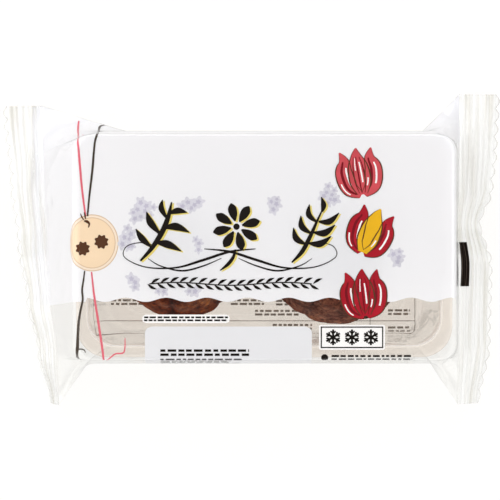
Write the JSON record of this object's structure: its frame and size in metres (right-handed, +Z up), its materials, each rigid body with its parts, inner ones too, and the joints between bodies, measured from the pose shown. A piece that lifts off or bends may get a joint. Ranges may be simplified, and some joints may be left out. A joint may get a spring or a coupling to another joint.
{
  "type": "flow-wrapped pack of canele cakes",
  "caption": "Small canele cakes in a clear moulded tray, sealed in printed clear film with crimped, zigzag-cut ends and a clear window along the front; the pack lies flat.",
  "frame": {"origin": "under the middle of the pack's outline, on the surface that it lies on", "axes": "+X along the pack to its right end seal, +Y from the windowed front edge to the back edge, +Z up"},
  "size_m": [0.1798, 0.1124, 0.0448],
  "materials": {
    "printed_film": "white ink printed behind glossy clear polypropylene film",
    "clear_film": "glossy clear polypropylene film, milky where it is crimped",
    "clear_tray": "thin clear moulded tray, glossy",
    "cake_crust": "dark brown caramelised crust, glossy in patches"
  },
  "bodies": {
    "root": {"pack": "printed_film"}
  },
  "joints": []
}
